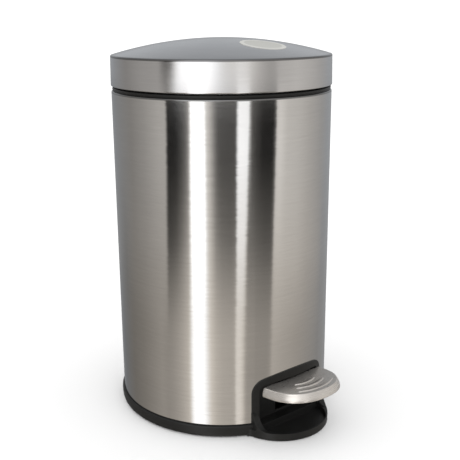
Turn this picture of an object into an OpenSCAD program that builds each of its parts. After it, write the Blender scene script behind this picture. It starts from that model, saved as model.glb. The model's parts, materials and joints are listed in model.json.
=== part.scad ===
// Round pedal trash can: steel shell on a moulded base, lifting lid, and a removable inner bucket.
// +Z is up, the pedal points along -Y, and the origin is on the can's axis at the floor.

/* [Body] */
// Outer radius of the steel shell
body_r = 102.5; // [101:0.5:104]
// Thickness of the steel sheet
sheet_t = 0.8; // [0.6:0.1:1]
// Height of the shell's top edge above the floor
shell_top = 307; // [280:1:340]
// Height of the base's visible ring
ring_h = 11.6; // [10:0.1:12]

/* [Lid] */
// Outer radius of the lid's band
lid_r = 102.8; // [102:0.1:103]
// Height of the lid's straight band
band_h = 27; // [24:0.2:30]
// Rise of the dome above the crease
dome_rise = 15; // [12:0.1:17]
// Shape of the dome: 2 is a parabola, and less is more pointed
dome_power = 2; // [1.6:0.1:2.2]
// How far the lid opens, in degrees
lid_open = 80; // [60:1:85]

/* [Pedal] */
// Half width of the tread
tread_half_w = 35.1; // [32:0.1:36]
// How far the tread reaches from the can's axis
tread_front = 143; // [142:0.1:146]
// Height of the tread's rear edge above the floor
tread_z = 48.3; // [47:0.1:48.5]
// Slope of the tread at rest, in degrees
tread_tilt = 6.2; // [4:0.1:7]
// Height of the tread's skirt
skirt_h = 7.9; // [7:0.1:8.2]
// How far the skirt flares out
skirt_flare = 2.1; // [1:0.1:2.4]
// Number of raised ribs on the tread
rib_count = 3; // [1:1:3]
// Tilt of the lever at rest, in degrees
lever_tilt = 7.2; // [7:0.1:7.4]

/* [Toe guard] */
// Radius of the toe guard's rim in plan
guard_r = 46.6; // [45:0.1:48]
// Distance of the rim's centre in front of the can's axis
guard_y = 83.2; // [82:0.1:84]
// Height of the rim
guard_h = 7.6; // [7:0.1:8.4]

/* [Bucket] */
// Outer radius of the bucket at its bottom
bucket_r1 = 84; // [80:0.5:84.5]
// Outer radius of the bucket under its flange
bucket_r2 = 89.7; // [86:0.1:89.8]
// Height of the bucket's underside above the floor
bucket_z = 50; // [46:1:54]
// Thickness of the bucket's wall
bucket_t = 1.8; // [1.4:0.1:2.2]

/* [Hidden] */
$fn = 96;
// Small gap that keeps two fitted pieces apart
gap = 0.1;
// Radial play of a pin that turns in its bore, and of a pin that is fixed in it
run_play = 0.06;
fix_play = 0.02;
// Long enough to cut through anything
far = 400;

// Shell and base
inner_r = body_r - sheet_t;
shell_z = ring_h + 1;
roll_r = 1.5;
ring_r = body_r + 1.9;
under_z = 0.8;
floor_z = 3.5;
spigot_r = inner_r - gap;
spigot_t = 2;
spigot_z = 24;
foot_top = 1.6;
foot_ring_r1 = 86;
foot_ring_r2 = 93;
toe_pad_r = 8;
toe_pad_y = guard_y + 30;
foot_gap = 0.05;

// Arch that frames the pedal, drawn in the XZ plane
arch_r = body_r + 1.1;
arch_w = 43.1;
arch_z = 58.3;
arch_round = 13.8;
mouth_w = 36.5;
mouth_z = 50.4;
mouth_round = 6;
mouth_crown = 300;
crown_r = 145.5;
cut_w = 40.3;
cut_z = 54;
recess_back = body_r - 14.5;
recess_wall = 2;
step_front = 99;
step_z = 10;
slot_w = 9;
guard_in_w = 37.8;
guard_t = 1.8;
guard_power = 2.6;
guard_fillet = 6;
cheek_round = 15;

// Lever, axle and push rod
axle_y = -15;
axle_z = 26;
axle_r = 2.5;
axle_half = 18.5;
post_x1 = 8.5;
post_x2 = 14;
lever_half = 7;
lever_h = 9;
lever_t = 1.5;
rod_y = body_r - 7.5;
lever_arm = 110.3;
lever_front = 112;
lever_end = 2.8;
lever_pin_r = 1.8;
lever_pin_y = axle_y + lever_arm * cos(lever_tilt);
lever_pin_z = axle_z - lever_arm * sin(lever_tilt);
rod_r = 2.5;
foot_half = 3;
bumper_y = 78;
bumper_r = 4;

// Hinge and crank
lid_z = shell_top + 4.4;
crease_z = lid_z + band_h;
hinge_y = body_r + 8;
hinge_z = lid_z + 6.7;
hinge_pin_r = 2.5;
barrel_r = 6.3;
barrel_half = 18.5;
ear_t = 6;
ear_r = 7;
ear_x = barrel_half + 0.5;
crank_r = 15.9;
crank_angle = lid_open / 2;
crank_y = hinge_y - crank_r * cos(crank_angle);
crank_z = hinge_z - crank_r * sin(crank_angle);
crank_pin_r = 2;
cheek_x1 = 3.5;
cheek_x2 = 6.5;
cheek_r = 4.2;
head_half = 2;
head_y1 = crank_y - 3.9;
head_y2 = crank_y + 0.1;
head_slot_r = crank_pin_r + 0.5;
head_r = 4;
arm_half = 15;
arm_t = 4;
arm_front = 60;
notch_half = 11;
notch_z = shell_top - 9;
lid_notch_half = barrel_half + 1;
lid_notch_top = hinge_z + 8;
bracket_half = ear_x + ear_t;
bracket_z1 = 270;
bracket_z2 = shell_top - 3;
bracket_y = body_r + 5.5;
screw_x = 18;
screw_zs = [277, 288];

// Collar, liner and bucket
collar_top = shell_top + 3.3;
collar_in = body_r - 10;
ledge_z = shell_top - 0.1;
liner_t = 1.8;
liner_r = lid_r - sheet_t - gap;
liner_rim_t = 2.3;
liner_z = lid_z + 1;
flange_r = collar_in + 4.4;
flange_z = ledge_z + gap;
flange_t = 1.6;
bail_r = 92;
bail_wire = 1.5;
bail_z = flange_z + flange_t + bail_wire + gap;
stub_x = 96.4;
label_r = 20.3;
label_t = 0.3;
label_x = 0;
label_y = -58;

// Damper beside the push rod
damper_x = 22;
damper_y = 86.5;
damper_r = 7.5;
damper_bore = 6;
damper_h = 38;
piston_r = damper_bore - run_play;
piston_rod_r = 1.5;
link_z = floor_z + damper_h + 4.5;
link_t = 2.5;
link_half = 3;

// Rod guides' heights on the shell's back wall
guide_zs = [120, 235];
guide_h = 12;

// Tread: its outline starts at the rear edge and runs straight for tread_side before it curves
tread_rear = 100.9;
tread_side = 4.5;
tread_len = (tread_front - tread_rear) / cos(tread_tilt);
tread_power = 2.35;
tread_t = 0.9;
skirt_steps = 5;
grip_half = 12;
rib_mid = 0.9;
rib_r1 = 21.2;
rib_step = 8.5;
rib_half_angle = 36;
rib_w = 1.2;

steel = [0.72, 0.71, 0.69];
dark_steel = [0.5, 0.5, 0.5];
black = [0.13, 0.13, 0.13];
dark_grey = [0.22, 0.22, 0.22];
rubber = [0.08, 0.08, 0.08];
pale = [0.74, 0.74, 0.71];

// Points of an arc from angle a1 to a2 in n steps
function arc(cx, cy, r, a1, a2, n) = [
    for (i = [0 : n]) let (a = a1 + (a2 - a1) * i / n) [cx + r * cos(a), cy + r * sin(a)]
];

// One quarter to one whole superellipse, with half axes a and b
function superellipse(a, b, p, a1, a2, n) = [
    for (i = [0 : n]) let (
        t = a1 + (a2 - a1) * i / n,
        c = cos(t),
        s = sin(t)
    ) [a * sign(c) * pow(abs(c), 2 / p), b * sign(s) * pow(abs(s), 2 / p)]
];

// Height of the dome's outer surface at radius r
function dome_z(r) = crease_z + dome_rise * (1 - pow(r / lid_r, dome_power));

// Outline of an arch with a crowned top and round top corners, standing on z = base
module arch(half_w, top, crown, round_r, base) {
    crown_c = top - crown;
    corner_x = half_w - round_r;
    corner_z = crown_c + sqrt(pow(crown - round_r, 2) - pow(corner_x, 2));
    lean = atan2(corner_z - crown_c, corner_x);
    polygon(concat(
        [[-half_w, base], [half_w, base]],
        arc(corner_x, corner_z, round_r, 0, lean, 8),
        arc(0, crown_c, crown, lean, 180 - lean, 24),
        arc(-corner_x, corner_z, round_r, 180 - lean, 180, 8)
    ));
}

// Extrudes an XZ outline along Y, from y1 to y2
module along_y(y1, y2) {
    translate([0, y2, 0]) rotate([90, 0, 0]) linear_extrude(y2 - y1) children();
}

// Extrudes a YZ outline along X, from x1 to x2
module along_x(x1, x2) {
    translate([x1, 0, 0]) rotate([90, 0, 90]) linear_extrude(x2 - x1) children();
}

// Rod along X
module x_rod(r, x1, x2, y, z) {
    translate([x1, y, z]) rotate([0, 90, 0]) cylinder(r = r, h = x2 - x1);
}

// Slot outline: two round ends and the stretch between them
module stadium(p1, p2, r) {
    len = norm(p2 - p1);
    turn = atan2(p2[1] - p1[1], p2[0] - p1[0]);
    translate(p1) rotate(turn) union() {
        circle(r);
        translate([len, 0]) circle(r);
        translate([0, -r]) square([len, 2 * r]);
    }
}

// Block given by its low and high corners
module block(lo, hi) {
    translate(lo) cube(hi - lo);
}

// ---- Can body ----

module outer_shell() {
    color(steel) difference() {
        rotate_extrude() polygon(concat(
            [[inner_r, shell_z], [body_r, shell_z]],
            arc(body_r - roll_r, shell_top - roll_r, roll_r, 0, 90, 6),
            arc(body_r - roll_r, shell_top - roll_r, roll_r - sheet_t, 90, 0, 6)
        ));
        // Opening for the pedal arch
        along_y(-far, 0) arch(cut_w, cut_z, crown_r, arch_round - 2, -1);
        // Notch for the hinge crank
        block([-notch_half, 0, notch_z], [notch_half, far, far]);
        // Holes for the bracket's screws
        for (x = [-screw_x, screw_x], z = screw_zs)
            translate([x, body_r + 5, z]) rotate([90, 0, 0]) cylinder(r = 2.1, h = 20);
    }
}

// Fillet between the base ring and the toe guard, on one side
module guard_blend() {
    d0 = ring_r + guard_fillet;
    d1 = guard_r + guard_fillet;
    fy = (d0 * d0 - d1 * d1 + guard_y * guard_y) / (2 * guard_y);
    fx = sqrt(d0 * d0 - fy * fy);
    difference() {
        linear_extrude(guard_h - under_z) polygon([[0, 0], [fx, -fy], [0, -guard_y]]);
        translate([fx, -fy, -1]) cylinder(r = guard_fillet, h = far);
    }
}

// Plan of the toe guard's hollow
module guard_plan() {
    polygon([
        for (p = superellipse(guard_in_w, guard_r - guard_t, guard_power, 0, 180, 40))
            [p[0], -guard_y - p[1]]
    ]);
}

// Side cheek that flows from the arch's leg into the toe guard's rim
module cheek() {
    leg_y = -90;
    toe_y = -guard_y - guard_r;
    bend_y = -arch_r + 7.5 - cheek_round;
    intersection() {
        along_x(mouth_w, arch_w + 0.2) polygon(concat(
            [[leg_y, under_z], [toe_y, under_z], [toe_y, guard_h]],
            arc(bend_y, guard_h + cheek_round, cheek_round, -90, 0, 10),
            [[leg_y, guard_h + cheek_round]]
        ));
        difference() {
            translate([0, -guard_y, 0]) cylinder(r = guard_r, h = far);
            translate([0, 0, shell_z - 0.5]) cylinder(r = body_r + 0.05, h = far);
        }
    }
}

module base_moulding() {
    wall_in = spigot_r - spigot_t;
    color(black) difference() {
        union() {
            difference() {
                union() {
                    // Ring, shoulder, spigot and floor
                    rotate_extrude() polygon([
                        [0, under_z], [ring_r - 2, under_z], [ring_r - 1, under_z + 0.8],
                        [ring_r - 0.3, under_z + 2.6], [ring_r, under_z + 5.2], [ring_r, ring_h - 1.2],
                        [ring_r - 0.4, ring_h - 0.4], [ring_r - 1.1, ring_h], [body_r - 0.4, ring_h],
                        [body_r - 0.4, shell_z], [spigot_r, shell_z], [spigot_r, spigot_z],
                        [wall_in, spigot_z], [wall_in, floor_z], [0, floor_z]
                    ]);
                    translate([0, -guard_y, under_z]) cylinder(r = guard_r, h = guard_h - under_z);
                    for (m = [0, 1]) mirror([m, 0, 0]) {
                        translate([0, 0, under_z]) guard_blend();
                        cheek();
                    }
                    // Arch: a proud frame over the shell, and a plug that fills the shell's opening
                    intersection() {
                        along_y(-far, 0) arch(arch_w, arch_z, crown_r, arch_round, ring_h - 1);
                        difference() {
                            cylinder(r = arch_r, h = far);
                            cylinder(r = body_r + 0.05, h = far);
                        }
                    }
                    intersection() {
                        along_y(-far, 0)
                            arch(cut_w - 0.2, cut_z - 0.2, crown_r, arch_round - 2, ring_h - 1);
                        difference() {
                            cylinder(r = arch_r, h = far);
                            cylinder(r = inner_r - 2, h = far);
                        }
                    }
                    // Tunnel behind the arch
                    intersection() {
                        along_y(-step_front - 2, -recess_back + recess_wall)
                            arch(mouth_w + recess_wall, mouth_z + recess_wall, mouth_crown, 6, floor_z - 1);
                        cylinder(r = inner_r - 0.3, h = far);
                    }
                }
                // Mouth of the tunnel, down to the step
                along_y(-guard_y - 40, -recess_back)
                    arch(mouth_w, mouth_z, mouth_crown, mouth_round, step_z);
                // Hollow of the toe guard in front of the step
                difference() {
                    translate([0, 0, floor_z]) linear_extrude(guard_h) guard_plan();
                    block([-far, -step_front, 0], [far, far, far]);
                }
                // Passage for the lever
                block([-slot_w, -recess_back - 1, 12], [slot_w, -recess_back + 10, 45]);
            }
            // Posts that hold the axle
            for (m = [0, 1]) mirror([m, 0, 0]) along_x(post_x1, post_x2) union() {
                translate([axle_y - 6, floor_z - 1]) square([12, axle_z - floor_z + 1]);
                translate([axle_y, axle_z]) circle(6);
            }
            // Seat of the damper, and ribs that stiffen the floor
            translate([damper_x, damper_y, floor_z - 1]) cylinder(r = damper_r + 1.6, h = 6);
            for (a = [15, 75, 105, 165, 195, 345])
                rotate(a) block([20, -0.9, floor_z - 1], [wall_in + 1, 0.9, floor_z + 4]);
        }
        x_rod(axle_r + fix_play, -far, far, axle_y, axle_z);
        translate([damper_x, damper_y, floor_z]) cylinder(r = damper_r + 0.05, h = far);
        foot_ring_solid(foot_gap);
        toe_pad_solid(foot_gap);
    }
}

// Anti-slip ring under the can, and pad under the toe guard; extra widens them into their seats
module foot_ring_solid(extra) {
    rotate_extrude() translate([foot_ring_r1 - extra, 0])
        square([foot_ring_r2 - foot_ring_r1 + 2 * extra, foot_top]);
}

module toe_pad_solid(extra) {
    translate([0, -toe_pad_y, 0]) cylinder(r = toe_pad_r + extra, h = foot_top);
}

module foot_ring() {
    color(rubber) foot_ring_solid(0);
}

module toe_pad() {
    color(rubber) toe_pad_solid(0);
}

module top_collar() {
    spig_r = body_r - roll_r - 0.2;
    bead_r = body_r - 0.9;
    lip_in = flange_r + 0.4;
    color(black) difference() {
        rotate_extrude() polygon(concat(
            [
                [spig_r - 1.9, shell_top - 15], [spig_r, shell_top - 15], [spig_r, shell_top + gap],
                [bead_r - 0.5, shell_top + gap]
            ],
            arc(bead_r - 1, shell_top + 1.6, 1, -60, 0, 3),
            arc(bead_r - 1.5, collar_top - 1.5, 1.5, 0, 90, 5),
            [
                [lip_in, collar_top], [lip_in, ledge_z], [collar_in, ledge_z],
                [collar_in, ledge_z - 1.9], [spig_r - 1.9, ledge_z - 1.9]
            ]
        ));
        block([-notch_half, 0, notch_z], [notch_half, far, far]);
    }
}

// ---- Hinge at the back ----

module hinge_bracket() {
    color(black) difference() {
        union() {
            difference() {
                block([-bracket_half, body_r - 8, bracket_z1], [bracket_half, bracket_y, bracket_z2]);
                cylinder(r = body_r + 0.05, h = far);
            }
            for (m = [0, 1]) mirror([m, 0, 0]) along_x(ear_x, bracket_half) union() {
                polygon([
                    [body_r - 1, bracket_z2 - 26], [bracket_y, bracket_z2 - 26],
                    [hinge_y + ear_r, bracket_z2 - 8], [hinge_y + ear_r, hinge_z],
                    [hinge_y - ear_r, hinge_z], [hinge_y - ear_r, bracket_z2], [body_r - 1, bracket_z2]
                ]);
                translate([hinge_y, hinge_z]) circle(ear_r);
            }
        }
        cylinder(r = body_r + 0.05, h = bracket_z2 + gap);
        x_rod(hinge_pin_r + fix_play, -far, far, hinge_y, hinge_z);
        for (x = [-screw_x, screw_x], z = screw_zs)
            translate([x, body_r + 4, z]) rotate([90, 0, 0]) cylinder(r = 1.9 + fix_play, h = 20);
    }
}

module bracket_screws() {
    head_y = 99.3;
    color(dark_steel) union() {
        for (x = [-screw_x, screw_x], z = screw_zs) {
            translate([x, head_y, z]) rotate([90, 0, 0]) cylinder(r = 3.2, h = 2);
            translate([x, body_r + 3, z]) rotate([90, 0, 0]) cylinder(r = 1.9, h = body_r + 4 - head_y);
        }
    }
}

module hinge_pin() {
    color(dark_steel) x_rod(hinge_pin_r, -bracket_half - 2, bracket_half + 2, hinge_y, hinge_z);
}

// Retaining ring on a pin, open at one side
module clip(r, x, y, z) {
    difference() {
        x_rod(r + 2, x - 0.4, x + 0.4, y, z);
        x_rod(r + fix_play, x - 1, x + 1, y, z);
        block([x - 1, y - r * 0.6, z], [x + 1, y + r * 0.6, z + r + 3]);
    }
}

module hinge_pin_clips() {
    color(dark_steel) union() {
        for (s = [-1, 1]) clip(hinge_pin_r, s * (bracket_half + 0.5), hinge_y, hinge_z);
    }
}

module rod_guides() {
    color(dark_grey) difference() {
        union() {
            for (z = guide_zs) intersection() {
                block([-8, rod_y - 4, z], [8, far, z + guide_h]);
                cylinder(r = inner_r - 0.03, h = far);
            }
        }
        translate([0, rod_y, 0]) cylinder(r = rod_r + run_play, h = far);
    }
}

// ---- Damper ----

module damper_cylinder() {
    color(dark_grey) translate([damper_x, damper_y, floor_z]) rotate_extrude() polygon([
        [0, 0], [damper_r, 0], [damper_r, damper_h], [piston_rod_r + run_play, damper_h],
        [piston_rod_r + run_play, damper_h - 2.5], [damper_bore, damper_h - 2.5],
        [damper_bore, 2], [0, 2]
    ]);
}

module damper_piston() {
    color(dark_steel) translate([damper_x, damper_y, 0]) union() {
        translate([0, 0, floor_z + 3]) cylinder(r = piston_r, h = 4);
        translate([0, 0, floor_z + 6]) cylinder(r = piston_rod_r, h = link_z + link_t + 1 - floor_z - 6);
    }
}

module damper_link() {
    rod_p = [0, rod_y];
    damper_p = [damper_x, damper_y];
    color(dark_steel) difference() {
        translate([0, 0, link_z]) linear_extrude(link_t) union() {
            stadium(rod_p, damper_p, link_half);
            translate(rod_p) circle(link_half + 1.2);
        }
        translate([0, rod_y, 0]) cylinder(r = rod_r + fix_play, h = far);
        translate([damper_x, damper_y, 0]) cylinder(r = piston_rod_r + fix_play, h = far);
    }
}

// ---- Lid ----

module lid_shell() {
    corner = 1.5;
    dome_r = lid_r - corner;
    color(steel) difference() {
        rotate_extrude() difference() {
            polygon(concat(
                [[0, lid_z], [lid_r - 0.5, lid_z], [lid_r, lid_z + 0.8]],
                arc(lid_r - corner, dome_z(dome_r) - corner, corner, 0, 85, 6),
                [for (i = [12 : -1 : 0]) let (r = (dome_r - 0.2) * i / 12) [r, dome_z(r)]]
            ));
            polygon(concat(
                [[-1, lid_z - 1], [lid_r - sheet_t, lid_z - 1], [lid_r - sheet_t, crease_z - 1.3]],
                [for (i = [12 : -1 : 0]) let (r = (dome_r - 0.2) * i / 12) [r, dome_z(r) - sheet_t]],
                [[-1, dome_z(0) - sheet_t]]
            ));
        }
        block([-lid_notch_half, 0, 0], [lid_notch_half, far, lid_notch_top]);
    }
}

module lid_liner() {
    under_t = sheet_t + gap;
    rim_in = liner_r - liner_rim_t;
    color(black) difference() {
        union() {
            rotate_extrude() polygon(concat(
                [
                    [rim_in, liner_z], [liner_r, liner_z], [liner_r, crease_z - 2.5],
                    [liner_r - 1, crease_z - 1.4]
                ],
                [for (i = [12 : -1 : 0]) let (r = (rim_in) * i / 12) [r, dome_z(r) - under_t]],
                [for (i = [0 : 12]) let (r = (rim_in) * i / 12) [r, dome_z(r) - under_t - liner_t]]
            ));
            // Boss that the hinge arm is screwed to
            intersection() {
                block([-arm_half + 1, arm_front + 1, hinge_z + arm_t], [arm_half - 1, 86, far]);
                rotate_extrude() polygon(concat(
                    [[0, 0], [rim_in, 0]],
                    [for (i = [12 : -1 : 0]) let (r = rim_in * i / 12) [r, dome_z(r) - under_t - 0.2]]
                ));
            }
        }
        block([-lid_notch_half, 88, 0], [lid_notch_half, far, lid_notch_top]);
        for (p = lid_screw_places())
            translate([p[0], p[1], 0]) cylinder(r = 1.6 + fix_play, h = hinge_z + arm_t + 8);
    }
}

function lid_screw_places() = [[-9, 66], [9, 66], [0, 80]];

module lid_screws() {
    color(dark_steel) union() {
        for (p = lid_screw_places()) translate([p[0], p[1], 0]) {
            translate([0, 0, hinge_z - 1.8]) cylinder(r = 3, h = 1.8);
            translate([0, 0, hinge_z - 0.5]) cylinder(r = 1.6, h = arm_t + 8);
        }
    }
}

module lid_bumpers() {
    color(rubber) union() {
        for (a = [45, 135, 225, 315]) rotate(a - 4) rotate_extrude(angle = 8)
            translate([liner_r - liner_rim_t + 0.2, collar_top + gap])
                square([liner_rim_t - 0.4, liner_z - collar_top - gap]);
    }
}

module lid_label() {
    color(pale) intersection() {
        rotate_extrude() polygon(concat(
            [for (i = [0 : 14]) let (r = 90 * i / 14) [r, dome_z(r) + 0.02]],
            [for (i = [14 : -1 : 0]) let (r = 90 * i / 14) [r, dome_z(r) + 0.02 + label_t]]
        ));
        translate([label_x, label_y, crease_z - 5]) cylinder(r = label_r, h = far);
    }
}

module lid_hinge_arm() {
    color(dark_grey) difference() {
        union() {
            x_rod(barrel_r, -barrel_half, barrel_half, hinge_y, hinge_z);
            block([-arm_half, arm_front, hinge_z], [arm_half, hinge_y, hinge_z + arm_t]);
            for (m = [0, 1]) mirror([m, 0, 0]) along_x(cheek_x1, cheek_x2)
                stadium([crank_y, crank_z], [hinge_y, hinge_z], cheek_r);
        }
        x_rod(hinge_pin_r + run_play, -far, far, hinge_y, hinge_z);
        x_rod(crank_pin_r + fix_play, -far, far, crank_y, crank_z);
        for (p = lid_screw_places())
            translate([p[0], p[1], 0]) cylinder(r = 1.6 + fix_play, h = far);
    }
}

module crank_pin() {
    color(dark_steel) x_rod(crank_pin_r, -cheek_x2 - 1, cheek_x2 + 1, crank_y, crank_z);
}

// ---- Push rod ----

module push_rod() {
    foot_y1 = lever_pin_y - 0.1;
    foot_y2 = axle_y + lever_arm + 0.1;
    color(dark_steel) difference() {
        union() {
            translate([0, rod_y, lever_pin_z + 1]) cylinder(r = rod_r, h = crank_z - lever_pin_z - 4);
            along_x(-head_half, head_half) stadium([head_y1, crank_z], [head_y2, crank_z], head_r);
            along_x(-foot_half, foot_half)
                stadium([foot_y1, lever_pin_z], [foot_y2, lever_pin_z], lever_pin_r + 1.8);
        }
        along_x(-far, far) stadium([head_y1, crank_z], [head_y2, crank_z], head_slot_r);
        along_x(-far, far)
            stadium([foot_y1, lever_pin_z], [foot_y2, lever_pin_z], lever_pin_r + 0.3);
    }
}

// ---- Pedal ----

// Places things in the lever's own frame: Y along the lever, origin at the axle
module on_lever() {
    translate([0, axle_y, axle_z]) rotate([-lever_tilt, 0, 0]) children();
}

module pedal_lever() {
    rear = lever_arm + lever_end;
    color(dark_steel) on_lever() difference() {
        block([-lever_half, -lever_front, -lever_h / 2], [lever_half, rear, lever_h / 2]);
        block(
            [-lever_half + lever_t, -lever_front - 1, -lever_h],
            [lever_half - lever_t, lever_arm - 22, lever_h / 2 - lever_t]
        );
        // The web ends before the push rod's foot
        block([-lever_half + lever_t, lever_arm - 23, -lever_h], [lever_half - lever_t, far, lever_h]);
        x_rod(axle_r + run_play, -far, far, 0, 0);
        x_rod(lever_pin_r + fix_play, -far, far, lever_arm, 0);
        for (y = pedal_screw_ys()) translate([0, y, 0]) cylinder(r = 1.4 + fix_play, h = far);
    }
}

function pedal_screw_ys() = [-106, -95];

module pedal_screws() {
    web_z = lever_h / 2 - lever_t;
    color(dark_steel) on_lever() union() {
        for (y = pedal_screw_ys()) translate([0, y, 0]) {
            translate([0, 0, web_z - 1.8]) cylinder(r = 2.8, h = 1.8);
            translate([0, 0, web_z - 0.5]) cylinder(r = 1.4, h = 5.8);
        }
    }
}

module lever_rod_pin() {
    color(dark_steel) on_lever() x_rod(lever_pin_r, -lever_half - 1, lever_half + 1, lever_arm, 0);
}

module pedal_axle() {
    color(dark_steel) x_rod(axle_r, -axle_half, axle_half, axle_y, axle_z);
}

module axle_clips() {
    color(dark_steel) union() {
        for (s = [-1, 1]) clip(axle_r, s * (post_x2 + 0.6), axle_y, axle_z);
    }
}

module lever_bumper() {
    top = axle_z - (bumper_y - axle_y) * tan(lever_tilt) - lever_h / 2 - 1.2;
    color(rubber) translate([0, bumper_y, floor_z]) cylinder(r1 = bumper_r + 1, r2 = bumper_r, h = top - floor_z);
}

// Places things in the tread's own frame: Y along the tread, origin at its rear edge
module on_tread() {
    translate([0, -tread_rear, tread_z]) rotate([-tread_tilt, 0, 0]) children();
}

// Outline of the tread, made smaller by inset or larger where it is negative
module tread_plan(inset) {
    half = tread_half_w - inset;
    polygon(concat(
        [[-half, 0], [half, 0]],
        [
            for (p = superellipse(half, tread_len - tread_side - inset, tread_power, 0, 180, 48))
                [p[0], -tread_side - p[1]]
        ]
    ));
}

// Flared skirt from the tread's edge down, made smaller by inset
module skirt_solid(inset, top, bottom) {
    step = (top - bottom) / skirt_steps;
    for (i = [0 : skirt_steps - 1])
        translate([0, 0, top - (i + 1) * step]) linear_extrude(step + 0.01)
            tread_plan(inset - skirt_flare * sin(90 * (i + 1) / skirt_steps));
}

module pedal_cap() {
    edge = 1;
    color(steel) on_tread() difference() {
        union() {
            skirt_solid(0, -edge, -skirt_h);
            translate([0, 0, -edge - 0.01]) linear_extrude(edge / 2) tread_plan(0.3);
            translate([0, 0, -edge - 0.01]) linear_extrude(edge + 0.01) tread_plan(0.8);
            // Raised ribs, concentric with the front edge
            for (i = [0 : rib_count - 1])
                translate([0, rib_mid, -0.2]) rotate(-90 - rib_half_angle)
                    rotate_extrude(angle = 2 * rib_half_angle)
                        translate([rib_r1 + i * rib_step, 0]) circle(rib_w);
        }
        // Hollow underside, open at the back
        intersection() {
            union() {
                skirt_solid(tread_t + 0.3, -edge, -skirt_h);
                translate([0, 0, -edge - 0.01]) linear_extrude(edge + 0.01 - tread_t) tread_plan(tread_t + 0.3);
                translate([0, 0, -skirt_h - 1]) linear_extrude(1.1) tread_plan(tread_t + 0.3 - skirt_flare);
            }
            block([-far, -far, -far], [far, -tread_t, far]);
        }
        block([-tread_half_w + 2, -2, -far], [tread_half_w - 2, 1, -tread_t]);
    }
}

module pedal_pad() {
    side = tread_t + 0.3 + gap;
    pad_top = -tread_t - gap - rib_w / 2;
    color(black) difference() {
        on_tread() union() {
            intersection() {
                translate([0, 0, 1 - skirt_h]) linear_extrude(pad_top + skirt_h - 1) tread_plan(side);
                block([-far, -far, -far], [far, -side, far]);
            }
            // Grip round the lever
            block([-grip_half, -31, -11], [grip_half, -3, pad_top - 1]);
        }
        // Channel for the lever
        on_lever() block(
            [-lever_half - gap, -lever_front - gap, -far],
            [lever_half + gap, 0, lever_h / 2 + gap / 2]
        );
        on_lever() for (y = pedal_screw_ys())
            translate([0, y, 0]) cylinder(r = 1.4 + fix_play, h = lever_h / 2 + 4);
    }
}

// ---- Bucket ----

module inner_bucket() {
    top_in = bucket_r2 - bucket_t;
    low_in = bucket_r1 - bucket_t;
    top_z = flange_z + flange_t;
    ear_w = 3.5;
    color(dark_grey) difference() {
        union() {
            rotate_extrude() polygon([
                [0, bucket_z], [bucket_r1, bucket_z], [bucket_r2, flange_z], [flange_r, flange_z],
                [flange_r, top_z], [top_in, top_z], [low_in, bucket_z + 2], [0, bucket_z + 2]
            ]);
            // Ears that carry the bail
            for (s = [-1, 1]) intersection() {
                block(
                    [s * 95.2 - 1.3, -ear_w, top_z - 0.5],
                    [s * 95.2 + 1.3, ear_w, bail_z + bail_wire + 0.9]
                );
                cylinder(r = flange_r, h = far);
            }
        }
        difference() {
            block([-notch_half, 0, flange_z - 1], [notch_half, far, far]);
            cylinder(r = bucket_r2 + 0.1, h = far);
        }
        x_rod(bail_wire + run_play, -far, far, 0, bail_z);
    }
}

module bucket_bail() {
    color(dark_steel) translate([0, 0, bail_z]) union() {
        rotate(180) rotate_extrude(angle = 180) translate([bail_r, 0]) circle(bail_wire);
        for (s = [-1, 1]) x_rod(bail_wire, s > 0 ? bail_r - 1.5 : -stub_x, s > 0 ? stub_x : 1.5 - bail_r, 0, 0);
    }
}

outer_shell();
base_moulding();
foot_ring();
toe_pad();
top_collar();
hinge_bracket();
bracket_screws();
hinge_pin();
hinge_pin_clips();
rod_guides();
damper_cylinder();
lever_bumper();
pedal_axle();
axle_clips();
lid_shell();
lid_liner();
lid_bumpers();
lid_label();
lid_hinge_arm();
lid_screws();
crank_pin();
push_rod();
damper_piston();
damper_link();
pedal_lever();
pedal_pad();
pedal_cap();
pedal_screws();
lever_rod_pin();
inner_bucket();
bucket_bail();
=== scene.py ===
"""Looks of the pedal trash can: finishes, finer outer pieces, studio and camera."""
import json
import math

import bmesh
import bpy
from mathutils import Matrix, Vector


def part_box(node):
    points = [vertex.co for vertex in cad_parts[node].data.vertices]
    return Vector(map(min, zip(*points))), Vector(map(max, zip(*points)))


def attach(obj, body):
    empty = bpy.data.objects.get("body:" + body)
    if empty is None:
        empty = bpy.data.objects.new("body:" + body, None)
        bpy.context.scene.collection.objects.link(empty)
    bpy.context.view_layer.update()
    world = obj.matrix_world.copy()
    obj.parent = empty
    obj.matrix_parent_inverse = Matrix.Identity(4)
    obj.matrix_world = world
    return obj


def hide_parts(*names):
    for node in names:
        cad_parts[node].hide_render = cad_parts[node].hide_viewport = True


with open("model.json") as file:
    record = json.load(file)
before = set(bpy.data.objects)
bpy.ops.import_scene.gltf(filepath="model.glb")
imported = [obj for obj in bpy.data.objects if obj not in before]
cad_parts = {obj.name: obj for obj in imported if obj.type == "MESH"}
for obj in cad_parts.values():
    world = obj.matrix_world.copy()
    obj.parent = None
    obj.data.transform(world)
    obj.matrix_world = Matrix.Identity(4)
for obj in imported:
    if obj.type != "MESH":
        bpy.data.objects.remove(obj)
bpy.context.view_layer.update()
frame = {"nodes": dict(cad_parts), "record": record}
NODES = frame["nodes"]
MM = 0.001

# ---- Places taken from the frame ----

shell_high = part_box("outer_shell")[1]
lid_low, lid_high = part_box("lid_shell")
label_low, label_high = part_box("lid_label")

SHEET = 0.8 * MM
SHELL_R = shell_high.x
SHELL_TOP = shell_high.z
LID_R = lid_high.x
LID_Z = lid_low.z
LID_TOP = lid_high.z
LID_BAND = 27.0 * MM
CREASE_Z = LID_Z + LID_BAND

# ---- Camera ----

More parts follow.
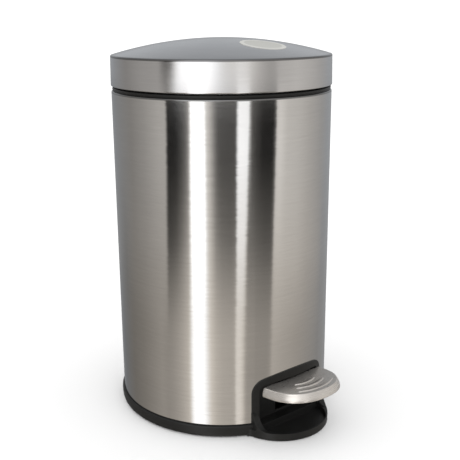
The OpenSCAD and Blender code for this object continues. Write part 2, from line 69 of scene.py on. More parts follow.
CAMERA_AZIMUTH = math.radians(-38.66)
CAMERA_DISTANCE = 742.9 * MM
CAMERA_HEIGHT = 374.5 * MM
CAMERA_LENS = 61.227
CAMERA_SENSOR = 36
AIM_AZIMUTH = math.radians(-39.197)
AIM_DOWN = math.radians(15.481)
AIM_ROLL = math.radians(-0.37)
NEAREST = 0.01
FARTHEST = 50


def make_camera():
    """The camera stands left of the pedal and looks a little down and past the can's axis."""
    data = bpy.data.cameras.new("camera")
    data.lens = CAMERA_LENS
    data.sensor_width = CAMERA_SENSOR
    data.clip_start = NEAREST
    data.clip_end = FARTHEST
    camera = bpy.data.objects.new("camera", data)
    bpy.context.scene.collection.objects.link(camera)
    place = Vector((
        CAMERA_DISTANCE * math.sin(CAMERA_AZIMUTH),
        -CAMERA_DISTANCE * math.cos(CAMERA_AZIMUTH),
        CAMERA_HEIGHT,
    ))
    turn = (
        Matrix.Rotation(AIM_AZIMUTH, 4, "Z")
        @ Matrix.Rotation(math.pi / 2 - AIM_DOWN, 4, "X")
        @ Matrix.Rotation(AIM_ROLL, 4, "Z")
    )
    camera.matrix_world = Matrix.Translation(place) @ turn
    bpy.context.scene.camera = camera


# ---- Node helpers ----


class Tree:
    """A node tree with short ways to add, set and link nodes."""

    def __init__(self, tree):
        self.tree = tree
        tree.nodes.clear()

    def add(self, kind, **values):
        node = self.tree.nodes.new("ShaderNode" + kind)
        for key, value in values.items():
            setattr(node, key, value)
        return node

    def link(self, out, socket):
        self.tree.links.new(out, socket)

    def feed(self, node, sockets):
        """Sets or links inputs by name or number."""
        for key, value in sockets.items():
            if isinstance(value, bpy.types.NodeSocket):
                self.link(value, node.inputs[key])
            else:
                node.inputs[key].default_value = value

    def math(self, operation, a, b=None):
        node = self.add("Math", operation=operation)
        self.feed(node, {0: a} if b is None else {0: a, 1: b})
        return node.outputs[0]

    def vector(self, operation, a, b):
        node = self.add("VectorMath", operation=operation)
        self.feed(node, {0: a, 1: b})
        return node.outputs[0]

    def place(self, kind="Object"):
        """Texture coordinates: the point in the can's frame, or another kind."""
        return self.add("TexCoord").outputs[kind]

    def split(self, vector):
        """The x, y and z of a vector."""
        node = self.add("SeparateXYZ")
        self.link(vector, node.inputs[0])
        return [node.outputs[i] for i in range(3)]

    def remap(self, value, low, high, out_low=0.0, out_high=1.0):
        node = self.add("MapRange", clamp=True)
        self.feed(node, {"Value": value, "From Min": low, "From Max": high})
        self.feed(node, {"To Min": out_low, "To Max": out_high})
        return node.outputs["Result"]

    def mix(self, factor, a, b):
        node = self.add("Mix", data_type="RGBA")
        self.feed(node, {"Factor": factor, 6: a, 7: b})
        return node.outputs[2]

    def ramp(self, factor, stops):
        """Colour ramp through (place from 0 to 1, colour) stops."""
        node = self.add("ValToRGB")
        elements = node.color_ramp.elements
        while len(elements) > 1:
            elements.remove(elements[-1])
        elements[0].position, elements[0].color = stops[0]
        for place, colour in stops[1:]:
            elements.new(place).color = colour
        self.link(factor, node.inputs["Fac"])
        return node.outputs["Color"]

    def noise(self, vector, scale, detail=2.0, roughness=0.5, stretch=(1, 1, 1)):
        mapping = self.add("Mapping")
        self.feed(mapping, {"Vector": vector, "Scale": stretch})
        node = self.add("TexNoise")
        self.feed(node, {"Vector": mapping.outputs[0], "Scale": scale})
        self.feed(node, {"Detail": detail, "Roughness": roughness})
        return node.outputs["Fac"]


def rgb(r, g, b):
    return (r, g, b, 1.0)


def smooth_step(x, a, b):
    t = min(max((x - a) / (b - a), 0.0), 1.0)
    return t * t * (3 - 2 * t)


# ---- Studio: what the steel reflects ----

# Rings of cards and screens round the can, from the highest to the lowest.
# Each stop is (azimuth in degrees from the camera, + to its right; brightness).
# The stops were set from brightness measured in the reflections on the photographed steel.
SCREENS_TOP = [
    (-180, 0.24), (-120, 0.26), (-75, 0.34), (-54, 0.3), (-40, 1.1), (-15, 1.1), (0, 0.7), (22, 0.6),
    (48, 0.34), (75, 0.38), (120, 0.26), (180, 0.24),
]
SCREENS_HIGH = [
    (-180, 0.36), (-150, 0.36), (-118, 0.28), (-87, 0.26), (-66, 0.28), (-54, 0.3), (-45, 0.9),
    (-40, 1.25), (-15, 1.25), (-5, 0.82), (5, 0.6), (22, 0.62), (35, 0.45), (60, 0.4), (80, 0.43),
    (98, 0.39), (118, 0.33), (150, 0.36), (180, 0.36),
]
SCREENS_ABOVE = [
    (-180, 0.27), (-144, 0.25), (-113, 0.20), (-87, 0.26), (-66, 0.28), (-59, 0.10), (-54, 0.05),
    (-51, 0.08), (-48, 0.38), (-45.5, 0.72), (-42, 1.0), (-39, 1.15), (-15, 1.2), (-10, 1.08),
    (-5, 0.9), (0, 0.72), (5, 0.62), (10, 0.6), (17, 0.64), (22, 0.63), (28, 0.56), (35, 0.45),
    (41, 0.36), (48, 0.30), (54, 0.31), (60, 0.37), (80, 0.43), (98, 0.39), (120, 0.32), (142, 0.29),
    (180, 0.27),
]
SCREENS_BAND = [
    (-180, 0.27), (-144, 0.25), (-113, 0.20), (-87, 0.27), (-66, 0.28), (-60, 0.24), (-57, 0.30),
    (-53, 0.55), (-49, 0.85), (-45, 1.1), (-40, 1.2), (-13, 1.2), (-8, 1.1), (-3, 0.98), (3, 0.86),
    (9, 0.79), (17, 0.72), (24, 0.66), (30, 0.6), (36, 0.5), (42, 0.44), (50, 0.37), (60, 0.37),
    (80, 0.43), (98, 0.39), (120, 0.32), (142, 0.29), (180, 0.27),
]
SCREENS_LEVEL = [
    (-180, 0.28), (-150, 0.20), (-107, 0.19), (-87, 0.25), (-66, 0.35), (-59, 0.36), (-57, 0.01),
    (-47, 0.005), (-42, 0.03), (-38, 0.07), (-35.5, 0.13), (-33.6, 0.24), (-32.6, 0.5), (-31, 1.25),
    (-17.5, 1.25), (-16.5, 0.60), (-13.5, 0.46), (-10.5, 0.30), (-7, 0.13), (-4, 0.06), (0, 0.05),
    (14.8, 0.045), (15.8, 0.93), (27, 0.90), (28.4, 0.22), (30, 0.07), (35, 0.03), (42, 0.005),
    (54, 0.005), (56.6, 0.10), (57.8, 0.56), (62, 0.56), (70, 0.45), (85, 0.41), (101, 0.34),
    (124, 0.27), (142, 0.26), (180, 0.28),
]
SCREENS_LOW = [
    (-180, 0.27), (-128, 0.15), (-106, 0.18), (-89, 0.21), (-75, 0.25), (-60, 0.29), (-58.6, 0.26),
    (-56, 0.06), (-51, 0.07), (-46, 0.10), (-41, 0.17), (-37, 0.25), (-33.5, 0.34), (-31.6, 0.50),
    (-29.8, 1.25), (-18.5, 1.25), (-17, 0.80), (-15, 0.58), (-12, 0.43), (-7, 0.23), (-1, 0.16),
    (8, 0.13), (14.9, 0.16), (16.4, 0.72), (25, 0.72), (27.6, 0.42), (29.6, 0.15), (38, 0.12),
    (48, 0.09), (56, 0.09), (58, 0.46), (64, 0.45), (74, 0.42), (86, 0.40), (102, 0.33), (122, 0.28),
    (136, 0.23), (180, 0.26),
]
SCREENS_BELOW = [
    (-180, 0.25), (-146, 0.14), (-116, 0.13), (-96, 0.16), (-80, 0.20), (-66, 0.24), (-58, 0.23),
    (-52, 0.25), (-46, 0.29), (-40.6, 0.34), (-35.8, 0.40), (-33.6, 0.44), (-31.6, 0.56),
    (-29.6, 0.85), (-27.4, 1.08), (-20, 1.08), (-18.2, 0.90), (-16.4, 0.68), (-14.6, 0.57),
    (-12.4, 0.50), (-8, 0.41), (-2, 0.36), (8, 0.34), (13, 0.36), (16, 0.60), (21, 0.59), (24.6, 0.51),
    (27.4, 0.38), (30.3, 0.28), (41, 0.24), (53, 0.23), (57, 0.25), (60, 0.35), (72, 0.31), (90, 0.27),
    (130, 0.20), (180, 0.25),
]

# Warmth of each ring's light
WARMTH_TOP = 0.05
WARMTH_HIGH = 0.08
WARMTH_ABOVE = 0.10
WARMTH_BAND = 0.10
WARMTH_LEVEL = 0.12
WARMTH_LOW = 0.17
WARMTH_BELOW = 0.21
WARMTH_BEHIND = -0.07
# Azimuths between which the light turns to the warmth behind, and brightness at which it turns white
TO_BEHIND = (110, 150)
TO_WHITE = (0.6, 1.1)
WARMTH_LEFT_IN_WHITE = 0.15
WARM_RED = 0.45
WARM_BLUE = -0.55

# Elevations in degrees between which one ring gives way to the next
LOW_TO_BELOW = (-16.5, -22.8)
LEVEL_TO_LOW = (-10, -18)
LEVEL_TO_BAND = (-4.6, -3.7)
BAND_TO_ABOVE = (-3.0, -1.4)
ABOVE_TO_HIGH = (3, 10)
HIGH_TO_TOP = (16, 40)
TOP_TO_SKY = (45, 75)
SKY = rgb(0.55, 0.55, 0.57)

# Lower down, the screens lean sideways: (azimuth, share of the full lean)
SCREENS_LEAN = [
    (-180, 0), (-100, 0.4), (-70, 0.8), (-34, 0.73), (-24, 0.38), (-16, 0), (5, 0), (16, 0.46), (27, 1),
    (57, 0.8), (90, 0.5), (140, 0.15), (180, 0),
]
# Full lean in degrees, and the elevations where the lean starts and is full
FULL_LEAN = 7.8
LEANING = (-7.5, -25.5)

STEEL_REFLECTANCE = 0.8
FULL_TURN = 360.0
AMBIENT = 1.2
FLOOR_HALF = 6.0
FLOOR_WHITE = rgb(0.97, 0.97, 0.97)


def ring_place(azimuth):
    """Place of an azimuth along a ramp that runs once round the can."""
    return 0.5 + azimuth / FULL_TURN


def screen_colour(azimuth, level, warmth):
    """Colour of a screen: warm in front of the can, cooler behind it, white where bright."""
    level /= STEEL_REFLECTANCE
    behind = smooth_step(abs(azimuth), *TO_BEHIND)
    white = smooth_step(level, *TO_WHITE)
    warm = warmth * (1 - behind) + WARMTH_BEHIND * behind
    warm *= 1 - (1 - WARMTH_LEFT_IN_WHITE) * white
    return rgb(level * (1 + WARM_RED * warm), level, level * (1 + WARM_BLUE * warm))


def screens(t, turn, stops, warmth):
    """A ring of screens. A ramp holds 32 stops, so the left and the right half have one each."""
    left = [stop for stop in stops if stop[0] < 0]
    right = [stop for stop in stops if stop[0] > 0]
    before = left[-1]
    after = [stop for stop in stops if stop[0] >= 0][0]
    share = -before[0] / (after[0] - before[0])
    front = (0, before[1] + (after[1] - before[1]) * share)
    sides = []
    for half in (left + [front], [front] + right):
        colours = [(ring_place(azimuth), screen_colour(azimuth, level, warmth)) for azimuth, level in half]
        sides.append(t.ramp(turn, colours))
    return t.mix(t.math("GREATER_THAN", turn, 0.5), sides[0], sides[1])


def make_studio():
    """White ambient light, and rings of soft cards and screens that only glossy rays see."""
    world = bpy.data.worlds.new("studio")
    world.use_nodes = True
    bpy.context.scene.world = world
    t = Tree(world.node_tree)
    # Turned so that azimuth 0 is the camera's side of the can
    turned = t.add("VectorRotate", rotation_type="Z_AXIS")
    t.feed(turned, {"Vector": t.place("Generated"), "Angle": -CAMERA_AZIMUTH})
    x, y, z = t.split(turned.outputs[0])
    azimuth = t.math("ARCTAN2", x, t.math("MULTIPLY", y, -1.0))
    turn = t.math("ADD", t.math("DIVIDE", azimuth, math.tau), 0.5)
    elevation = t.math("MULTIPLY", t.math("ARCSINE", z), math.degrees(1))
    share = t.ramp(turn, [(ring_place(a), rgb(v, v, v)) for a, v in SCREENS_LEAN])
    lean = t.remap(elevation, *LEANING, 0, FULL_LEAN / FULL_TURN)
    turn = t.math("ADD", turn, t.math("MULTIPLY", share, lean))
    level = screens(t, turn, SCREENS_LEVEL, WARMTH_LEVEL)
    low = screens(t, turn, SCREENS_LOW, WARMTH_LOW)
    below = screens(t, turn, SCREENS_BELOW, WARMTH_BELOW)
    low = t.mix(t.remap(elevation, *LOW_TO_BELOW), low, below)
    ring = t.mix(t.remap(elevation, *LEVEL_TO_LOW), level, low)
    for stops, warmth, change in (
        (SCREENS_BAND, WARMTH_BAND, LEVEL_TO_BAND),
        (SCREENS_ABOVE, WARMTH_ABOVE, BAND_TO_ABOVE),
        (SCREENS_HIGH, WARMTH_HIGH, ABOVE_TO_HIGH),
        (SCREENS_TOP, WARMTH_TOP, HIGH_TO_TOP),
    ):
        ring = t.mix(t.remap(elevation, *change), ring, screens(t, turn, stops, warmth))
    sky = t.mix(t.remap(elevation, *TOP_TO_SKY), ring, SKY)
    ambient = t.add("Background")
    t.feed(ambient, {"Color": rgb(1, 1, 1), "Strength": AMBIENT})
    cards = t.add("Background")
    t.feed(cards, {"Color": sky, "Strength": 1.0})
    pick = t.add("MixShader")
    seen_by = t.add("LightPath")
    t.feed(pick, {0: seen_by.outputs["Is Glossy Ray"], 1: ambient.outputs[0], 2: cards.outputs[0]})
    out = t.add("OutputWorld")
    t.link(pick.outputs[0], out.inputs["Surface"])


def make_floor():
    """Plain pale floor, far wider than the can."""
    mesh = bpy.data.meshes.new("floor")
    signs = [(-1, -1), (1, -1), (1, 1), (-1, 1)]
    mesh.from_pydata([(FLOOR_HALF * x, FLOOR_HALF * y, 0) for x, y in signs], [], [(0, 1, 2, 3)])
    floor = bpy.data.objects.new("floor", mesh)
    bpy.context.scene.collection.objects.link(floor)
    material = bpy.data.materials.new("floor_white")
    material.use_nodes = True
    t = Tree(material.node_tree)
    shader = t.add("BsdfDiffuse")
    t.feed(shader, {"Color": FLOOR_WHITE})
    out = t.add("OutputMaterial")
    t.link(shader.outputs[0], out.inputs["Surface"])
    mesh.materials.append(material)
    # The steel sees the studio's cards and not the floor
    floor.visible_glossy = False


# ---- Materials ----

CLOUDINESS = 0.03
EDGE_ROUNDING = 0.7 * MM
LABEL_BORDER = (0.80, 0.83)
# Noise spans about this much of its range, which is spread over each finish's tones
GRAIN = (0.3, 0.7)


def principled(name, **sockets):
    """A new material with a Principled shader, returned with its tree."""
    material = bpy.data.materials.new(name)
    material.use_nodes = True
    t = Tree(material.node_tree)
    shader = t.add("BsdfPrincipled")
    t.feed(shader, sockets)
    out = t.add("OutputMaterial")
    t.link(shader.outputs[0], out.inputs["Surface"])
    return material, t, shader


def around_axis(t):
    """Coordinates that run round the can, in metres: arc length at the shell, height, radius."""
    x, y, z = t.split(t.place())
    azimuth = t.math("ARCTAN2", x, t.math("MULTIPLY", y, -1.0))
    radius = t.math("SQRT", t.math("ADD", t.math("MULTIPLY", x, x), t.math("MULTIPLY", y, y)))
    join = t.add("CombineXYZ")
    t.feed(join, {0: t.math("MULTIPLY", azimuth, SHELL_R), 1: z, 2: radius})
    return join.outputs[0]


def bump(t, height, strength, distance, normal=None):
    """Normal that a height field gives, with the distance in metres."""
    node = t.add("Bump")
    t.feed(node, {"Height": height, "Strength": strength, "Distance": distance})
    if normal:
        t.link(normal, node.inputs["Normal"])
    return node.outputs[0]


def steel_tone(t, wrap, grain, painted_shade_line, painted_upward_shade):
    """Tone of brushed steel: its grain and faint clouds, with painted shade along a tight bend, and
    painted shade on upward faces with a painted highlight on the rest.
    """
    shade = t.remap(grain, *GRAIN, 0.94, 1.04)
    clouds = t.noise(wrap, 14.0, 3.0)
    tone = t.math("MULTIPLY", shade, t.remap(clouds, *GRAIN, 1 - CLOUDINESS, 1 + CLOUDINESS))
    # Painted shade: a thin darker band at a given height, along a tight bend such as the lid's crease or
    # the shell's rolled top edge
    if painted_shade_line:
        height, reach, dark = painted_shade_line
        off = t.math("ABSOLUTE", t.math("SUBTRACT", t.split(t.place())[2], height))
        tone = t.math("MULTIPLY", tone, t.remap(off, reach * 0.5, reach, dark, 1.0))
    # Painted shade on upward faces, and a painted highlight on steeper faces such as rib slopes and the
    # rounded rim
    if painted_upward_shade:
        upward = t.split(t.place("Normal"))[2]
        tone = t.math("MULTIPLY", tone, t.remap(upward, 0.82, 0.97, 1.08, painted_upward_shade))
    return tone


def brushed_steel(name, base, rough, anisotropy, streak, grain_height, waver, metal=1.0, painted_shade_line=None,
                  painted_upward_shade=None):
    """Steel brushed round the can, with level streaks in its tone, roughness and bump.

    A streak's length goes with streak, and its sideways lean with waver. The (height, reach, shade) of a
    tight bend paints a thin line of shade along it, which darkens its reflection there. The shade given
    for level faces paints upward faces darker and the other faces a little lighter: painted shade on flats
    and a painted highlight on edges and ribs.
    """
    material, t, shader = principled(name, Metallic=metal, Anisotropic=anisotropy)
    wrap = around_axis(t)
    # Streaks are long round the can and thin up it
    fine = t.noise(wrap, 1.0, 3.0, 0.65, (60 / streak, 2600, 60))
    broad = t.noise(wrap, 1.0, 2.0, 0.5, (9, 420, 9))
    grain = t.math("ADD", t.math("MULTIPLY", fine, 0.7), t.math("MULTIPLY", broad, 0.3))
    level = steel_tone(t, wrap, grain, painted_shade_line, painted_upward_shade)
    grey = t.add("CombineColor")
    t.feed(grey, {0: level, 1: level, 2: level})
    tinted = t.add("Mix", data_type="RGBA", blend_type="MULTIPLY")
    t.feed(tinted, {"Factor": 1.0, 6: rgb(*base), 7: grey.outputs[0]})
    t.link(tinted.outputs[2], shader.inputs["Base Color"])
    t.link(t.remap(grain, *GRAIN, rough * 0.85, rough * 1.2), shader.inputs["Roughness"])
    tangent = t.add("Tangent", direction_type="RADIAL", axis="Z")
    t.feed(shader, {"Tangent": tangent.outputs[0], "Anisotropic Rotation": 0.25})
    # Each streak leans a little to one side, which frays the edges of upright reflections
    sway = t.noise(wrap, 1.0, 1.0, 0.5, (28, 1700, 28))
    push = t.add("VectorMath", operation="SCALE")
    amount = t.math("MULTIPLY", t.math("SUBTRACT", sway, 0.5), waver)
    t.feed(push, {0: tangent.outputs[0], "Scale": amount})
    unit = t.add("VectorMath", operation="NORMALIZE")
    bumped = bump(t, grain, 1.0, grain_height * MM)
    t.link(t.vector("ADD", bumped, push.outputs[0]), unit.inputs[0])
    t.link(unit.outputs[0], shader.inputs["Normal"])
    return material


def plastic(name, base, rough, texture=0.02, scale=900.0, **extra):
    """Moulded plastic or rubber: fine spark-eroded texture, and roughness that wanders a little."""
    material, t, shader = principled(name, **extra)
    place = t.place()
    wander = t.noise(place, 25.0, 3.0, 0.55)
    dark = rgb(*(c * 0.88 for c in base))
    light = rgb(*(c * 1.12 for c in base))
    t.link(t.mix(t.remap(wander, *GRAIN), dark, light), shader.inputs["Base Color"])
    t.link(t.remap(wander, *GRAIN, rough * 0.9, rough * 1.1), shader.inputs["Roughness"])
    # Edges of the mouldings are slightly rounded
    rounded = t.add("Bevel", samples=6)
    t.feed(rounded, {"Radius": EDGE_ROUNDING})
    pits = t.noise(place, scale, 2.0, 0.6)
    t.link(bump(t, pits, 0.6, texture * MM, rounded.outputs[0]), shader.inputs["Normal"])
    return material


def zinc(name):
    """Bright zinc plating with a faint mottled passivation."""
    material, t, shader = principled(name, Metallic=1.0)
    place = t.place()
    spots = t.noise(place, 120.0, 4.0, 0.6)
    colour = t.mix(t.remap(spots, *GRAIN), rgb(0.56, 0.57, 0.60), rgb(0.68, 0.68, 0.68))
    t.link(colour, shader.inputs["Base Color"])
    t.link(t.remap(spots, *GRAIN, 0.26, 0.4), shader.inputs["Roughness"])
    fine = t.noise(place, 1500.0)
    t.link(bump(t, fine, 0.3, 0.01 * MM), shader.inputs["Normal"])
    return material


def paper(name, centre, radius):
    """Blank coated-paper sticker with a slightly paler border."""
    material, t, shader = principled(name, Roughness=0.5)
    place = t.place()
    flat = t.vector("MULTIPLY", t.vector("SUBTRACT", place, centre), (1, 1, 0))
    size = t.add("VectorMath", operation="LENGTH")
    t.link(flat, size.inputs[0])
    border = t.remap(size.outputs["Value"], radius * LABEL_BORDER[0], radius * LABEL_BORDER[1])
    fibres = t.noise(place, 700.0, 3.0, 0.6)
    inner = t.mix(t.remap(fibres, *GRAIN), rgb(0.46, 0.46, 0.43), rgb(0.50, 0.50, 0.47))
    t.link(t.mix(border, inner, rgb(0.58, 0.58, 0.55)), shader.inputs["Base Color"])
    t.link(bump(t, fibres, 0.2, 0.02 * MM), shader.inputs["Normal"])
    return material


def make_materials():
    """One material for each slot of the record."""
    # Thin bands of painted shade along the shell's rolled top edge and in the lid's crease
    shell_edge_painted_shade = (SHELL_TOP - 0.6 * MM, 1.4 * MM, 0.35)
    lid_crease_painted_shade = (CREASE_Z - 0.5 * MM, 1.3 * MM, 0.3)
    label_centre = (label_low + label_high) / 2
    label_radius = (label_high.x - label_low.x) / 2
    return {
        "brushed_steel": brushed_steel(
            "brushed_steel", (0.80, 0.80, 0.80), 0.09, 0.6, 1.0, 0.0005, 0.03, painted_shade_line=shell_edge_painted_shade),
        "satin_steel": brushed_steel(
            "satin_steel", (0.79, 0.79, 0.80), 0.11, 0.4, 1.5, 0.0005, 0.03, painted_shade_line=lid_crease_painted_shade),
        # The tread's upward faces get painted shade, and its rib slopes and rim get a painted highlight
        "tread_steel": brushed_steel(
            "tread_steel", (0.74, 0.705, 0.665), 0.28, 0.2, 0.5, 0.001, 0.0, metal=0.82, painted_upward_shade=0.7),
        "black_plastic": plastic(
            "black_plastic", (0.0135, 0.0135, 0.013), 0.36, **{"Specular IOR Level": 0.3}),
        "grey_plastic": plastic("grey_plastic", (0.05, 0.05, 0.055), 0.45),
        "bucket_plastic": plastic("bucket_plastic", (0.035, 0.035, 0.038), 0.36),
        "black_rubber": plastic("black_rubber", (0.015, 0.015, 0.015), 0.75, 0.05, 500.0),
        "zinc_steel": zinc("zinc_steel"),
        "plain_label": paper("plain_label", label_centre, label_radius),
    }


def dress_nodes(materials):
    """Gives every CAD node the material of its slot."""
    for part in frame["record"]["subparts"]:
        mesh = NODES[part["node"]].data
        mesh.materials.clear()
        mesh.materials.append(materials[part["material_slot"]])


# ---- Mesh helpers ----

SHARP_ANGLE = math.radians(32.0)
WELD = 0.001 * MM


def smooth_by_angle(mesh):
    """Smooth shading that keeps edges from the sharp angle up sharp."""
    bm = bmesh.new()
    bm.from_mesh(mesh)
    bmesh.ops.remove_doubles(bm, verts=bm.verts, dist=WELD)
    bmesh.ops.recalc_face_normals(bm, faces=bm.faces)
    for face in bm.faces:
        face.smooth = True
    for edge in bm.edges:
        edge.smooth = edge.is_manifold and edge.calc_face_angle(0.0) < SHARP_ANGLE
    bm.to_mesh(mesh)
    bm.free()
    mesh.update()


def make_piece(name, verts, faces, material):
    mesh = bpy.data.meshes.new(name)
    mesh.from_pydata(verts, [], faces)
    smooth_by_angle(mesh)
    mesh.materials.append(material)
    piece = bpy.data.objects.new(name, mesh)
    bpy.context.scene.collection.objects.link(piece)
    return piece


def lathe(profile, steps):
    """Closed (radius, height) profile turned round the axis; radius 0 gives a pole."""
    verts, rings = [], []
    for r, z in profile:
        if r == 0:
            rings.append([len(verts)] * steps)
            verts.append((0, 0, z))
            continue
        rings.append([len(verts) + i for i in range(steps)])
        for i in range(steps):
            a = math.tau * i / steps
            verts.append((r * math.sin(a), -r * math.cos(a), z))
    faces = []
    for low, high in zip(rings, rings[1:]):
        for i in range(steps):
            k = (i + 1) % steps
            # At a pole, two of the corners are one point
            faces.append(list(dict.fromkeys([low[i], low[k], high[k], high[i]])))
    return verts, [face for face in faces if len(face) > 2]


def cut_block(piece, low, high):
    """Cuts the box between two corners out of a piece."""
    bm = bmesh.new()
    bmesh.ops.create_cube(bm, size=1.0)
    for v in bm.verts:
        v.co = Vector(low[i] if v.co[i] < 0 else high[i] for i in range(3))
    mesh = bpy.data.meshes.new("cutter")
    bm.to_mesh(mesh)
    bm.free()
    cutter = bpy.data.objects.new("cutter", mesh)
    bpy.context.scene.collection.objects.link(cutter)
    cut = piece.modifiers.new("cut", "BOOLEAN")
    cut.operation = "DIFFERENCE"
    cut.solver = "EXACT"
    cut.object = cutter
    bpy.context.view_layer.update()
    shaped = piece.evaluated_get(bpy.context.evaluated_depsgraph_get())
    result = bpy.data.meshes.new_from_object(shaped)
    piece.modifiers.clear()
    material = piece.data.materials[0]
    piece.data = result
    result.materials.clear()
    result.materials.append(material)
    bpy.data.objects.remove(cutter)
    smooth_by_angle(result)


def arc(x, z, radius, start, end, steps):
    """Points of an arc in a section, between two angles in degrees."""
    points = []
    for i in range(steps + 1):
        a = math.radians(start + (end - start) * i / steps)
        points.append((x + radius * math.cos(a), z + radius * math.sin(a)))
    return points


# ---- Lid ----

LID_CORNER = 1.5 * MM
LID_CORNER_TURN = 73
LID_DRAFT = 0.5 * MM
LID_STEPS = 384
DOME_RISE = LID_TOP - CREASE_Z
DOME_RINGS = 40
DOME_RINGS_INSIDE = 20
# (inset, height) points of the hem, from the band's lower edge up
HEM = [(0.5 * MM, 0), (0.1 * MM, 0.3 * MM), (0, 0.6 * MM)]
HEM_TOP = 0.8 * MM
BAND_TOP = CREASE_Z - LID_Z - 1.1 * MM
BAND_SHARES = (0, 0.01, 0.1, 0.3, 0.5, 0.7, 0.9, 0.97)
# (inset, drop) points of the crease's inside, from the dome down to the band
CREASE_INSIDE = [(0.7 * MM, 0.5 * MM), (0, 1.3 * MM)]
NOTCH_HALF = 19.5 * MM
NOTCH_TOP = LID_Z + 14.7 * MM


def dome(r):
    return CREASE_Z + DOME_RISE * (1 - (r / LID_R) ** 2)


def make_lid(material):
    """Lid sheet: a straight band with a small hem and some draft, a tight crease and a low dome."""
    corner_r = LID_R - LID_CORNER
    outer = [(LID_R - inset, LID_Z + height) for inset, height in HEM]
    outer += [(LID_R - LID_DRAFT * f, LID_Z + HEM_TOP + (BAND_TOP - HEM_TOP) * f) for f in BAND_SHARES]
    outer += arc(corner_r - LID_DRAFT, dome(corner_r) - LID_CORNER, LID_CORNER, 0, LID_CORNER_TURN, 8)
    dome_r = corner_r - LID_DRAFT
    for i in range(1, DOME_RINGS):
        r = dome_r * (1 - i / DOME_RINGS)
        outer.append((r, dome(r)))
    outer.append((0, dome(0)))
    inner = [(0, dome(0) - SHEET)]
    for i in range(1, DOME_RINGS_INSIDE):
        r = dome_r * i / DOME_RINGS_INSIDE
        inner.append((r, dome(r) - SHEET))
    inside_r = LID_R - SHEET
    upper, lower = CREASE_INSIDE
    inner.append((inside_r - upper[0], dome(dome_r) - SHEET - upper[1]))
    inner.append((inside_r - lower[0], CREASE_Z - lower[1]))
    inner.append((inside_r, LID_Z))
    verts, faces = lathe(outer + inner + outer[:1], LID_STEPS)
    piece = make_piece("lid_sheet", verts, faces, material)
    # Notch for the hinge, from the axis out past the band
    cut_block(piece, (-NOTCH_HALF, 0, 0), (NOTCH_HALF, 2 * LID_R, NOTCH_TOP))
    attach(piece, "lid")
    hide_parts("lid_shell")


# ---- Tread ----

TREAD_REAR = 100.9 * MM
TREAD_Z = 48.3 * MM
TREAD_TILT = math.radians(6.2)
TREAD_HALF = 35.1 * MM
TREAD_LEN = 42.1 * MM / math.cos(TREAD_TILT)
TREAD_SIDE = 4.5 * MM
TREAD_SIDE_SHARE = 0.06
TREAD_POWER = 2.35
TREAD_T = 0.9 * MM
TREAD_EDGE = 1.0 * MM
SKIRT_H = 7.9 * MM
SKIRT_FLARE = 2.1 * MM
# (step out from the skirt, height) points of the turned-in lip
LIP = [(-0.05 * MM, -7.5 * MM), (-0.3 * MM, -7.8 * MM), (-0.6 * MM, -7.9 * MM), (-0.95 * MM, -7.8 * MM),
       (-1.1 * MM, -7.5 * MM)]
LIP_ROOM = 1.7 * MM
SKIRT_ROWS = 12
SKIRT_CURVE = 0.9
# Inside of the skirt: its inset, its height at the top, and how much shorter it is than the skirt
INSIDE_INSET = 1.3 * MM
INSIDE_Z = -1.2 * MM
INSIDE_ROOM = 1.9 * MM
UNDERSIDE_INSET = 1.6 * MM
ACROSS = 220
SPOKES = 110
RIB_CENTRE = 0.9 * MM
RIB_RADII = [21.2 * MM, 29.7 * MM, 38.2 * MM]
RIB_RISE = 0.97 * MM
# Width of the rise: at a rib's ends, and how much more in its middle
RIB_THIN = 1.2 * MM
RIB_SWELL = 3.4 * MM
RIB_CREST = 0.15 * MM
RIB_DROP = (0.1 * MM, 0.95 * MM)
# Angles from straight ahead, in degrees, between which a rib thins out and fades
RIB_THINNING = (18, 37)
RIB_FADING = (31, 38)


def tread_outline(place, grow):
    """Point of the outline; place runs from 0 at its right rear corner to 1 at its left one."""
    half = TREAD_HALF + grow
    reach = TREAD_LEN - TREAD_SIDE + grow
    if place < TREAD_SIDE_SHARE or place > 1 - TREAD_SIDE_SHARE:
        along = min(place, 1 - place) / TREAD_SIDE_SHARE
        return (half if place < 0.5 else -half, -TREAD_SIDE * along)
    a = math.pi * (place - TREAD_SIDE_SHARE) / (1 - 2 * TREAD_SIDE_SHARE)
    c, s = math.cos(a), math.sin(a)
    x = half * math.copysign(abs(c) ** (2 / TREAD_POWER), c)
    return (x, -TREAD_SIDE - reach * s ** (2 / TREAD_POWER))


def rib_height(x, y):
    """Crescent ribs: a slow rise toward the front and a short drop, thinning out to both ends."""
    dy = RIB_CENTRE - y
    r = math.hypot(x, dy)
    turn = abs(math.degrees(math.atan2(x, dy)))
    ends = 1 - smooth_step(turn, *RIB_FADING)
    width = RIB_THIN + RIB_SWELL * (1 - smooth_step(turn, *RIB_THINNING))
    height = 0.0
    for radius in RIB_RADII:
        rise = smooth_step(r, radius - width, radius - RIB_CREST)
        drop = 1 - smooth_step(r, radius + RIB_DROP[0], radius + RIB_DROP[1])
        height = max(height, RIB_RISE * rise * drop * ends)
    return height


def tread_row(grow, z, share=1.0):
    """Points along the outline, grown sideways, or a share of the way out to it."""
    outline = [tread_outline(i / ACROSS, grow) for i in range(ACROSS + 1)]
    return [(share * x, share * y, z) for x, y in outline]


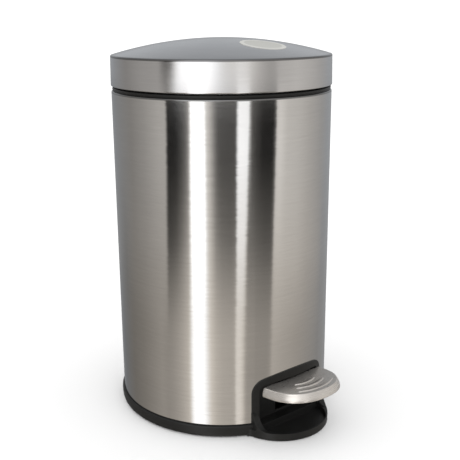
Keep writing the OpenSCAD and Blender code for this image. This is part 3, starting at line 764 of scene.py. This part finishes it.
def tread_rows():
    """Rows of points from the middle of the rear edge over the top, round the skirt and back below."""
    rows = []
    for j in range(SPOKES + 1):
        flat = tread_row(-TREAD_EDGE, 0.0, j / SPOKES)
        rows.append([(x, y, rib_height(x, y)) for x, y, _ in flat])
    for degrees in (15, 30, 45, 60, 75, 90):
        a = math.radians(degrees)
        rows.append(tread_row((math.sin(a) - 1) * TREAD_EDGE, (math.cos(a) - 1) * TREAD_EDGE))
    for j in range(1, SKIRT_ROWS + 1):
        f = j / SKIRT_ROWS
        flare = SKIRT_FLARE * math.sin(math.radians(90 * f)) ** SKIRT_CURVE
        rows.append(tread_row(flare, -TREAD_EDGE - (SKIRT_H - LIP_ROOM) * f))
    for step, z in LIP:
        rows.append(tread_row(SKIRT_FLARE + step, z))
    for f in (0.75, 0.5, 0.25, 0.0):
        flare = SKIRT_FLARE * math.sin(math.radians(90 * f))
        rows.append(tread_row(flare - INSIDE_INSET, INSIDE_Z - (SKIRT_H - INSIDE_ROOM) * f))
    for f in (0.97, 0.6, 0.3, 0.0):
        rows.append(tread_row(-UNDERSIDE_INSET, -TREAD_T, f))
    return rows


def make_tread(material):
    """Pressed tread: ribbed top, rounded edge, flared skirt with a turned-in lip, open behind."""
    rows = tread_rows()
    tilt = Matrix.Rotation(-TREAD_TILT, 4, "X")
    rear = Vector((0, -TREAD_REAR, TREAD_Z))
    verts = [tuple(tilt @ Vector(point) + rear) for row in rows for point in row]
    width = ACROSS + 1
    faces = []
    for j in range(len(rows) - 1):
        for i in range(ACROSS):
            k = j * width + i
            faces.append([k, k + 1, k + 1 + width, k + width])
    # Sheet's edges along the rear, one strip on each side of the middle
    right = [j * width for j in range(len(rows))]
    left = [k + ACROSS for k in right]
    faces += [right, left[::-1]]
    piece = make_piece("tread_sheet", verts, faces, material)
    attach(piece, "pedal")
    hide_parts("pedal_cap")
    # Real brushing blurs the pedal's image in the shell away, so reflected rays pass the pedal by
    for pedal_piece in [piece] + [NODES[name] for name in ("pedal_pad", "pedal_lever", "pedal_screws")]:
        pedal_piece.visible_glossy = False


make_camera()
make_studio()
make_floor()
finishes = make_materials()
dress_nodes(finishes)
make_lid(finishes["satin_steel"])
make_tread(finishes["tread_steel"])
bpy.context.scene.view_settings.view_transform = "Standard"
